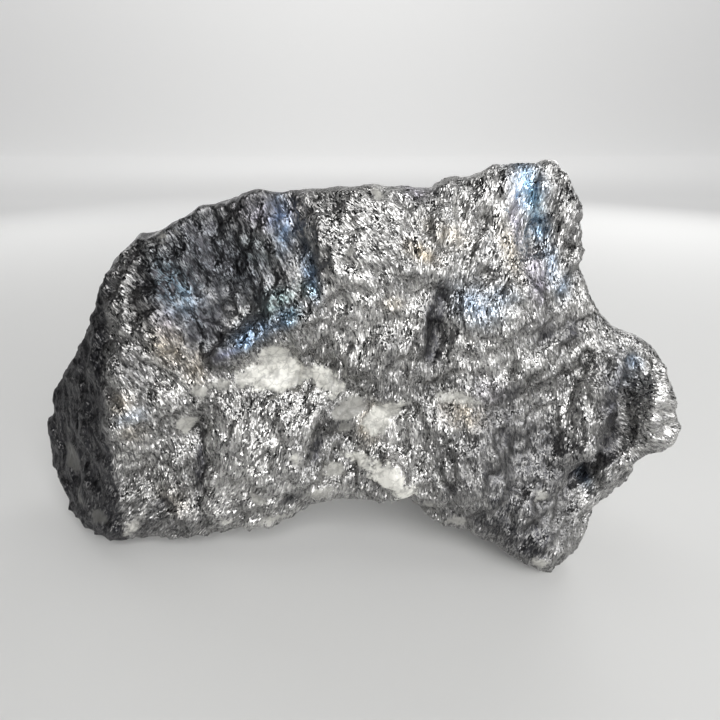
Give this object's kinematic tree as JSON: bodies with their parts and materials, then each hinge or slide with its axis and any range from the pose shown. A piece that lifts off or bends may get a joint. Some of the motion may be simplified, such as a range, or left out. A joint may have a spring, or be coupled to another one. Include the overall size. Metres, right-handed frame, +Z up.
{
  "type": "mineral hand specimen",
  "caption": "Broken lump of massive metallic grey skutterudite ore with quartz veins and blue tarnish, a display specimen that stands unaided.",
  "frame": {"origin": "bottom centre of the bounding box, on the surface that the stone stands on", "axes": "+Z up, the broad shown face looks along -Y, and +X runs along the length towards the end with the horn and the right lobe"},
  "size_m": [0.1175, 0.0461, 0.0686],
  "materials": {
    "metallic_ore": "hackly broken metallic ore, silver grey with bright grains, milky quartz in the hollows and patches of blue and bronze tarnish"
  },
  "bodies": {
    "root": {"skutterudite_mass": "metallic_ore"}
  },
  "joints": []
}
